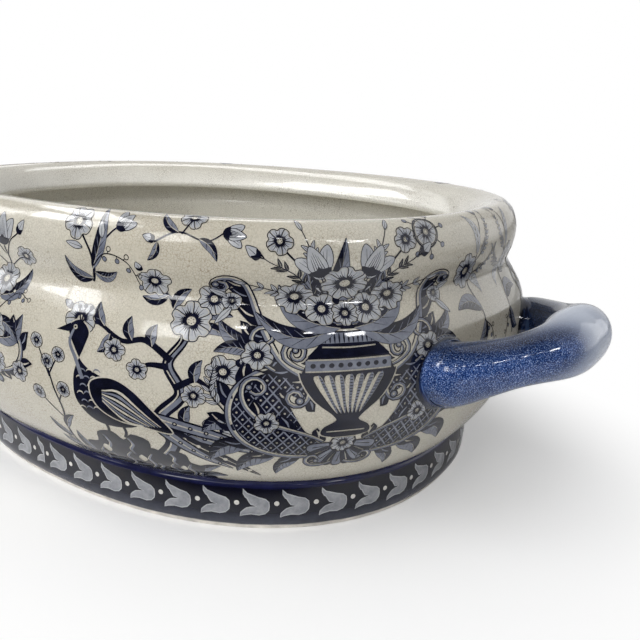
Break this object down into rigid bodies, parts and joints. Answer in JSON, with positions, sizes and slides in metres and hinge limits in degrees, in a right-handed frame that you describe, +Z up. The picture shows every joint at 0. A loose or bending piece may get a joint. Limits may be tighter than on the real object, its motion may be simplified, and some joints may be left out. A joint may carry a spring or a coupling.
{
  "type": "footbath",
  "caption": "Oval glazed earthenware footbath with a hollow rolled rim, waisted belly, foot ring and a loop handle at each end.",
  "frame": {"origin": "on the table under the middle of the foot ring", "axes": "+X through the two handles, +Y across the bowl, +Z up out of its mouth"},
  "size_m": [0.6056, 0.3882, 0.1915],
  "materials": {
    "cream_glaze": "warm cream earthenware under a glossy crackled glaze, printed in navy",
    "navy_glaze": "near-black navy print under a glossy glaze",
    "cobalt_glaze": "sponged cobalt blue under a glossy glaze"
  },
  "bodies": {
    "root": {"bowl": "cream_glaze", "foot_ring": "navy_glaze", "handle_right": "cobalt_glaze", "handle_left": "cobalt_glaze"}
  },
  "joints": []
}
